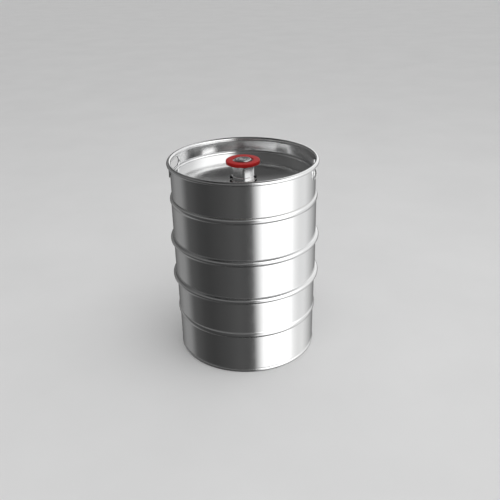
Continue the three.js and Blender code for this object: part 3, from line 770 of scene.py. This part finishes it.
def lock_screw(side, name):
    """A blackened set screw out of the neck, with a rounded end and a hexagon socket."""
    rim = 0.7
    chamfer = 0.4
    columns = 48
    socket = 2.0
    socket_depth = 2.4
    drill_depth = 3.2
    start = LOCK_SCREW_START
    end = LOCK_SCREW_END
    stations = [
        (0.0, start),
        (LOCK_SCREW_RADIUS - chamfer, start),
        (LOCK_SCREW_RADIUS, start + chamfer),
        (LOCK_SCREW_RADIUS, end - rim),
        (LOCK_SCREW_RADIUS - rim * 0.3, end - rim * 0.3),
        (LOCK_SCREW_RADIUS - rim, end),
    ]
    bm = bmesh.new()
    angles = [2 * math.pi * j / columns for j in range(columns)]
    loops = []
    for r, along in stations:
        loops.append([(r * math.cos(angle), r * math.sin(angle), along) for angle in angles])
    for depth in (0.0, socket_depth):
        loop = []
        for angle in angles:
            to_flat = (angle % (math.pi / 3)) - math.pi / 6
            r = socket / math.cos(to_flat)
            loop.append((r * math.cos(angle), r * math.sin(angle), end - depth))
        loops.append(loop)
    loops.append([(0.0, 0.0, end - drill_depth)] * columns)
    made = []
    for loop in loops:
        made.append([bm.verts.new((side * along * MM, a * MM, b * MM)) for a, b, along in loop])
    join_loops(bm, made)
    bmesh.ops.rotate(bm, verts=bm.verts, matrix=Matrix.Rotation(math.radians(LOCK_SCREW_TURN), 3, "Z"))
    bmesh.ops.translate(bm, verts=bm.verts, vec=(0, 0, (low(name) + high(name)) / 2 * MM))
    return finish_mesh(bm, name + "_fine")


def cap_ring():
    """The ring: a rounded top over the neck's flange and a short skirt around it."""
    outer = reach("cap_ring")
    top = high("cap_ring")
    bottom = low("cap_ring")
    hole = 26.0
    under = NECK_TOP + GAP
    skirt = NECK_FLANGE_RADIUS + GAP
    outline = [(hole, under), (skirt, under), (skirt, bottom)]
    outline += rounded((outer, bottom), 1.5, -90, 0, 6)
    outline += rounded((outer, top), 2.6, 0, 90, 10)
    outline += rounded((hole, top), 1.5, 90, 180, 8)
    return turned("ring_red", outline)


# ------------------------------------------------------------------ tapping fitting
HOUSING_RADIUS = reach("fitting_body")
HOUSING_TOP = high("fitting_body")
HOUSING_BOTTOM = low("fitting_body")
HOUSING_LEDGE = 2.4
HOUSING_STEP = 1.3
SEAT_BORE = 22.4
SEAT_CONE_TOP = HOUSING_TOP - 3.4
SEAT_CONE_MIDDLE = HOUSING_TOP - 6.3
SEAT_CONE_LOW = HOUSING_TOP - 8.7
HOUSING_BORE = 24.6
PLATE_RADIUS = reach("valve_plate")
PLATE_TOP = high("valve_plate")
PLATE_UNDERSIDE = 523.6
PORT_BORE = 8.6
STEM_RADIUS = 12.4
STEM_BORE = 10.2
STEM_BOTTOM = low("valve_plate")
POPPET_STEM_RADIUS = 3.0
POPPET_GROOVE_RADIUS = PORT_BORE - 2
POPPET_HEAD_RADIUS = PORT_BORE - 0.4
POPPET_FLANGE_RADIUS = STEM_BORE - 0.6
POPPET_FLANGE_LOW = 520
POPPET_FLANGE_HIGH = low("beer_valve_seal") - GAP
POPPET_GROOVE_HIGH = high("beer_valve_seal") + GAP
GAS_COIL_RADIUS = 16.5
GAS_WIRE_RADIUS = 1.6
GAS_SPRING_TURNS = 6
BEER_COIL_RADIUS = 6.6
BEER_WIRE_RADIUS = 0.8
BEER_SPRING_TURNS = 4


def fitting_body():
    """The housing. Its cone is the seat of the gas valve."""
    ledge_bore = NECK_LEDGE_BORE + GAP
    step_radius = HOUSING_RADIUS - HOUSING_STEP
    step = low("retaining_ring") - GAP
    ledge = HOUSING_BOTTOM + HOUSING_LEDGE
    outline = [
        (ledge_bore, HOUSING_BOTTOM),
        (HOUSING_RADIUS, HOUSING_BOTTOM),
        (HOUSING_RADIUS, step),
        (step_radius, step),
    ]
    outline += rounded((step_radius, HOUSING_TOP), 0.5, 0, 90, 4)
    outline += rounded((SEAT_BORE, HOUSING_TOP), 0.6, 90, 180, 5)
    outline += [
        (SEAT_BORE, SEAT_CONE_TOP),
        (SEAT_BORE + 1.5, SEAT_CONE_MIDDLE),
        (HOUSING_BORE, SEAT_CONE_LOW),
        (HOUSING_BORE, ledge),
        (ledge_bore, ledge),
    ]
    return turned("valve_housing", outline)


def valve_plate():
    """The plate that a tap head presses, with a rounded edge, a shallow groove and a hollow stem."""
    chamfer = 0.8
    groove = 15.2
    groove_size = (0.9, 0.35)
    port_depth = 2.6
    port_cone = 1.3
    outline = [(STEM_BORE, STEM_BOTTOM), (STEM_RADIUS, STEM_BOTTOM), (STEM_RADIUS, PLATE_UNDERSIDE)]
    outline += [(PLATE_RADIUS - chamfer, PLATE_UNDERSIDE), (PLATE_RADIUS, PLATE_UNDERSIDE + chamfer)]
    outline += rounded((PLATE_RADIUS, PLATE_TOP), 1.9, 0, 90, 9)
    outline += arc((groove, PLATE_TOP), groove_size, 0, -180, 8)
    outline += rounded((PORT_BORE, PLATE_TOP), 0.5, 90, 180, 4)
    outline += [(PORT_BORE, PLATE_TOP - port_depth), (STEM_BORE, PLATE_TOP - port_depth - port_cone)]
    return turned("press_plate", outline)


def beer_poppet():
    """The poppet that closes the port from below, with a groove for its seal."""
    top = high("beer_valve_poppet")
    bottom = low("beer_valve_poppet")
    chamfer = 0.4
    dimple = (3.4, 0.5)
    outline = [
        (0, bottom),
        (POPPET_STEM_RADIUS - chamfer, bottom),
        (POPPET_STEM_RADIUS, bottom + chamfer),
        (POPPET_STEM_RADIUS, POPPET_FLANGE_LOW),
        (POPPET_FLANGE_RADIUS, POPPET_FLANGE_LOW),
        (POPPET_FLANGE_RADIUS, POPPET_FLANGE_HIGH),
        (POPPET_GROOVE_RADIUS, POPPET_FLANGE_HIGH),
        (POPPET_GROOVE_RADIUS, POPPET_GROOVE_HIGH),
        (POPPET_HEAD_RADIUS, POPPET_GROOVE_HIGH),
    ]
    outline += rounded((POPPET_HEAD_RADIUS, top), 0.6, 0, 90, 5)
    outline += arc((0, top), dimple, 0, -90, 8)
    outline[-1] = (0, top - dimple[1])
    return turned("poppet", outline, SMALL, open_ends=True)


def gas_seal():
    """The rubber ring under the plate. Its cone closes on the housing's."""
    bore = STEM_RADIUS + GAP
    bottom = low("gas_valve_seal")
    top = high("gas_valve_seal")
    outer = reach("gas_valve_seal")
    outline = [(bore, bottom)]
    outline += rounded((outer, bottom), 1.2, -90, 0, 5)
    outline += [
        (outer, SEAT_CONE_MIDDLE),
        (SEAT_BORE - GAP, SEAT_CONE_TOP - 0.2),
        (SEAT_BORE - 0.5, top - 2.3),
    ]
    outline += rounded((SEAT_BORE - 0.5, top), 2.0, 0, 90, 6)
    outline += [(bore, top)]
    return turned("seal_gas", outline)


def washer(name, node_name, inner, edge):
    """A flat ring the size of its CAD node, with its corners eased."""
    outer = reach(node_name)
    bottom = low(node_name)
    top = high(node_name)
    return turned(name, [
        (inner + edge, bottom),
        (outer - edge, bottom),
        (outer, bottom + edge),
        (outer, top - edge),
        (outer - edge, top),
        (inner + edge, top),
        (inner, top - edge),
        (inner, bottom + edge),
    ], SMALL)


def beer_seal():
    """The rubber ring in the poppet's groove. Its cone closes on the port."""
    bore = POPPET_GROOVE_RADIUS + GAP
    outer = reach("beer_valve_seal")
    bottom = low("beer_valve_seal")
    top = high("beer_valve_seal")
    chamfer = 0.2
    cone = 0.8
    return turned("seal_beer", [
        (bore, bottom),
        (outer - chamfer, bottom),
        (outer, bottom + chamfer),
        (outer, top - cone),
        (PORT_BORE, top),
        (bore, top),
    ], SMALL)


def coil(name, node_name, radius, wire, turns):
    """A spring of round wire with capped ends. It stands between its CAD node's two ends."""
    bottom = low(node_name)
    top = high(node_name)
    steps = turns * 40
    section = 12
    start = bottom + wire
    rise = (top - bottom - 2 * wire) / steps
    bm = bmesh.new()
    loops = []
    for i in range(steps + 1):
        angle = 2 * math.pi * turns * i / steps
        centre = Vector((radius * math.cos(angle), radius * math.sin(angle), start + rise * i))
        out = Vector((math.cos(angle), math.sin(angle), 0))
        along = Vector((-math.sin(angle), math.cos(angle), rise * steps / (2 * math.pi * radius * turns)))
        up = out.cross(along.normalized()) * -1
        loop = []
        for k in range(section):
            turn = 2 * math.pi * k / section
            point = centre + out * wire * math.cos(turn) + up * wire * math.sin(turn)
            loop.append(bm.verts.new(point * MM))
        loops.append(loop)
    join_loops(bm, loops)
    bm.faces.new(loops[0])
    bm.faces.new(loops[-1])
    return finish_mesh(bm, name, 60)


# ------------------------------------------------------------------ assembly
dressed(upper_shell(), "keg", BARREL_STEEL, "polished_steel", "upper_shell")
dressed(lower_shell(), "keg", BARREL_STEEL, "polished_steel", "lower_shell")
dressed(top_chime(), "keg", CHIME_STEEL, "polished_steel", "top_chime")
dressed(bottom_chime(), "keg", CHIME_STEEL, "polished_steel", "bottom_chime")
for name, radius, z, width, height, ripple in (
    ("weld_shoulder_top", TOP_CHIME_RADIUS, UPPER_SHOULDER_Z, 0.9, 0.7, 0.25),
    ("weld_shoulder_bottom", BOTTOM_CHIME_RADIUS, LOWER_SHOULDER_Z, 0.9, 0.7, 0.25),
    ("weld_neck", NECK_COLLAR_RADIUS + 0.6, head_point(NECK_COLLAR_RADIUS)[1] + 0.5, 1.6, 1.4, 0.2),
):
    dressed(weld_ring(name, radius, z, width, height, ripple), "keg", WELD_METAL, "polished_steel")
dressed(neck_boss(), "keg", NECK_STEEL, "fitting_steel", "neck_boss")
dressed(lock_screw(-1, "lock_screw_left"), "keg", BLACK_OXIDE, "blackened_steel", "lock_screw_left")
dressed(lock_screw(1, "lock_screw_right"), "keg", BLACK_OXIDE, "blackened_steel", "lock_screw_right")
dressed(fitting_body(), "keg", FITTING_STEEL, "fitting_steel", "fitting_body")
dressed(washer("gasket_neck", "neck_gasket", NECK_LEDGE_BORE + GAP, 0.6),
        "keg", BLACK_RUBBER, "black_rubber", "neck_gasket")
dressed(valve_plate(), "gas_valve", PLATE_STEEL, "fitting_steel", "valve_plate")
dressed(gas_seal(), "gas_valve", BLACK_RUBBER, "black_rubber", "gas_valve_seal")
dressed(washer("seal_backing", "seal_backing_ring", STEM_RADIUS + GAP, 0.3),
        "gas_valve", FITTING_STEEL, "fitting_steel", "seal_backing_ring")
dressed(beer_poppet(), "beer_valve", FITTING_STEEL, "fitting_steel", "beer_valve_poppet")
dressed(beer_seal(), "beer_valve", BLACK_RUBBER, "black_rubber", "beer_valve_seal")
dressed(cap_ring(), "cap_ring", MOULDED_RED, "red_plastic", "cap_ring")

gas_spring = coil("spring_gas", "gas_valve_spring", GAS_COIL_RADIUS, GAS_WIRE_RADIUS, GAS_SPRING_TURNS)
dressed(gas_spring, "keg", WIRE_STEEL, "spring_steel", "gas_valve_spring")
beer_spring = coil("spring_beer", "beer_valve_spring", BEER_COIL_RADIUS, BEER_WIRE_RADIUS, BEER_SPRING_TURNS)
dressed(beer_spring, "gas_valve", WIRE_STEEL, "spring_steel", "beer_valve_spring")
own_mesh(gas_spring)
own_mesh(beer_spring)

for name, material in (
    ("retaining_ring", WIRE_STEEL),
    ("spring_cage", FITTING_STEEL),
    ("down_tube", FITTING_STEEL),
    ("beer_spring_seat", FITTING_STEEL),
):
    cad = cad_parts[name]
    cad.data.materials.clear()
    cad.data.materials.append(material)

# ------------------------------------------------------------------ floor, camera and light
# Lengths here are in metres, but for the lens, and angles in degrees.
FLOOR_HALF = 14.0
BACKDROP = 0.8
EVEN_STRENGTH = 0.66
OVERHEAD_POWER = 22
CAMERA_DISTANCE = 1.7738
CAMERA_ELEVATION = 25.699
CAMERA_AZIMUTH = 7.0
CAMERA_PAN = -0.42
CAMERA_TILT = 0.098
CAMERA_ROLL = 1.543
LENS = 46.8

# Rings of (bearing in degrees, light). Bearing 0 is the camera's own side of the keg and 90 its right.
LEVEL_SEAM = 0.2
LEVEL_BANDS = (
    (-162, 0.12),
    (-146, 0.22),
    (-132, 0.31),
    (-116, 0.31),
    (-100, 0.11),
    (-75, 0.063),
    (-60, 0.056),
    (-32, 0.076),
    (-12, 0.098),
    (2, 0.09),
    (11, 0.13),
    (24, 1.25),
    (34, 1.75),
    (74, 1.7),
    (86, 1.15),
    (97, 0.97),
    (112, 0.97),
    (130, 0.65),
    (152, 0.28),
)

# The upper ring leans: its bands turn with z, by this share of the compass from level to straight up.
# They are in their own places at the z of LEAN_FROM.
UPPER_LEAN = 0.022
LEAN_FROM = 0.43
UPPER_SEAM = 1.15
UPPER_BANDS = (
    (-184.5, 1.15),
    (-182, 0.085),
    (-160, 0.08),
    (-140, 0.12),
    (-104, 0.15),
    (-74, 0.12),
    (-40, 0.12),
    (-14, 0.13),
    (4, 0.15),
    (12, 0.22),
    (24, 1.9),
    (70, 1.9),
    (96, 1.2),
    (124, 1.0),
    (150, 1.1),
)
GROUND_SEAM = 0.06
GROUND_BANDS = (
    (-150, 0.08),
    (-106, 0.16),
    (-80, 0.06),
    (0, 0.05),
    (60, 0.05),
    (120, 0.08),
)


def floor():
    """A plain pale floor. Steel mirrors the studio's bands of light in its place."""
    bm = bmesh.new()
    bmesh.ops.create_grid(bm, x_segments=8, y_segments=8, size=FLOOR_HALF)
    mesh = bpy.data.meshes.new("floor")
    bm.to_mesh(mesh)
    bm.free()
    piece = new_object("floor", mesh)
    material, tree, shader = material_base("floor_paint")
    vector = place(tree)[0]
    colour = ramp(tree, noise(tree, vector, 3.0, 3.0), [(0.3, 0.76), (0.7, 0.79)])
    tree.links.new(colour, shader.inputs["Base Color"])
    shader.inputs["Roughness"].default_value = 0.85
    piece.data.materials.append(material)
    piece.visible_glossy = False


def camera():
    """A camera in front of the keg, turned about its own axes and then about the keg's."""
    centre = Vector((0, 0, cad_box[1][2] / 2))
    elevation = math.radians(CAMERA_ELEVATION)
    forward = Vector((0, math.cos(elevation), -math.sin(elevation)))
    right = Vector((1, 0, 0))
    up = right.cross(forward)
    pan = Matrix.Rotation(math.radians(CAMERA_PAN), 3, up)
    forward = pan @ forward
    right = pan @ right
    tilt = Matrix.Rotation(math.radians(CAMERA_TILT), 3, right)
    forward = tilt @ forward
    up = tilt @ up
    roll = Matrix.Rotation(math.radians(CAMERA_ROLL), 3, forward)
    right = roll @ right
    up = roll @ up
    about = Matrix.Rotation(math.radians(CAMERA_AZIMUTH), 4, "Z")
    place_at = centre - Vector((0, math.cos(elevation), -math.sin(elevation))) * CAMERA_DISTANCE
    turn = Matrix((right, up, -forward)).transposed().to_4x4()
    data = bpy.data.cameras.new("camera")
    data.lens = LENS
    data.sensor_width = 36
    data.clip_end = 100
    made = bpy.data.objects.new("camera", data)
    bpy.context.scene.collection.objects.link(made)
    made.matrix_world = about @ Matrix.Translation(place_at) @ turn
    bpy.context.scene.camera = made


def ring_of_light(tree, share, seam, bands):
    """Light by bearing. share runs from 0 to 1 round the compass, and seam is the light where they meet."""
    stops = [((bearing + CAMERA_AZIMUTH + 180) / 360, light) for bearing, light in bands]
    return ramp(tree, share, [(0.0, seam), *stops, (1.0, seam)])


def blend(tree, share, first, second):
    made = node(tree, "ShaderNodeMix", data_type="RGBA")
    tree.links.new(share, made.inputs[0])
    tree.links.new(first, made.inputs[6])
    tree.links.new(second, made.inputs[7])
    return made.outputs[2]


def either(tree, share, first, second):
    made = node(tree, "ShaderNodeMixShader")
    tree.links.new(share, made.inputs[0])
    tree.links.new(first, made.inputs[1])
    tree.links.new(second, made.inputs[2])
    return made.outputs[0]


def mirrored_light(tree):
    """What polished steel mirrors, by direction. z is 1 straight up and -1 straight down.

    Three rings of bands lie towards the floor, level with the keg and above it. A pale line runs round the
    foot of the upper ring, and the ceiling is dark but for a grey patch straight up.
    """
    coords = node(tree, "ShaderNodeTexCoord")
    apart = node(tree, "ShaderNodeSeparateXYZ")
    tree.links.new(coords.outputs["Generated"], apart.inputs[0])
    x, y, z = apart.outputs
    bearing = maths(tree, "ARCTAN2", x, maths(tree, "MULTIPLY", y, -1.0))
    share = spans(tree, bearing, -math.pi, math.pi, 0.0, 1.0)
    lean = maths(tree, "MULTIPLY", maths(tree, "SUBTRACT", z, LEAN_FROM), UPPER_LEAN)
    ground = ring_of_light(tree, share, GROUND_SEAM, GROUND_BANDS)
    level = ring_of_light(tree, share, LEVEL_SEAM, LEVEL_BANDS)
    upper = ring_of_light(tree, maths(tree, "ADD", share, lean), UPPER_SEAM, UPPER_BANDS)
    fade_in = spans(tree, z, 0.1, 0.2, 0.0, 1.0)
    horizon = maths(tree, "MULTIPLY", fade_in, spans(tree, z, 0.24, 0.42, 0.3, 0.0))
    lower = blend(tree, spans(tree, z, -0.88, -0.72, 0.0, 1.0), ground, level)
    rings = blend(tree, spans(tree, z, -0.16, 0.06, 0.0, 1.0), lower, maths(tree, "MAXIMUM", upper, horizon))
    ceiling = spans(tree, z, 0.76, 0.88, 1.0, 0.03)
    zenith = spans(tree, z, 0.94, 0.985, 0.0, 0.16)
    return maths(tree, "MAXIMUM", maths(tree, "MULTIPLY", rings, ceiling), zenith)


def background(tree, grey, strength=1.0):
    made = node(tree, "ShaderNodeBackground", Strength=strength)
    made.inputs["Color"].default_value = (grey, grey, grey, 1)
    return made


def studio():
    """A soft studio all round the keg.

    The camera sees a plain pale backdrop, matt surfaces get an even light, and steel mirrors the bands.
    """
    world = bpy.data.worlds.new("studio")
    bpy.context.scene.world = world
    world.use_nodes = True
    tree = world.node_tree
    tree.nodes.clear()
    seen = background(tree, BACKDROP)
    even = background(tree, 1.0, EVEN_STRENGTH)
    mirrored = background(tree, 1.0)
    tree.links.new(mirrored_light(tree), mirrored.inputs["Color"])
    path = node(tree, "ShaderNodeLightPath")
    unseen = either(tree, path.outputs["Is Glossy Ray"], even.outputs[0], mirrored.outputs[0])
    light = either(tree, path.outputs["Is Camera Ray"], unseen, seen.outputs[0])
    out = node(tree, "ShaderNodeOutputWorld")
    tree.links.new(light, out.inputs[0])
    bpy.context.scene.view_settings.view_transform = "Standard"


def softbox(name, place_at, aim, size, power):
    """A round soft light that polished steel does not mirror."""
    data = bpy.data.lights.new(name, "AREA")
    data.shape = "DISK"
    data.size = size
    data.energy = power
    made = bpy.data.objects.new(name, data)
    bpy.context.scene.collection.objects.link(made)
    made.location = place_at
    made.rotation_euler = (Vector(aim) - Vector(place_at)).to_track_quat("-Z", "Y").to_euler()
    made.visible_glossy = False


floor()
camera()
studio()
softbox("softbox_overhead", (0.6, -0.5, 3.0), (0, 0, 0.3), 2.0, OVERHEAD_POWER)
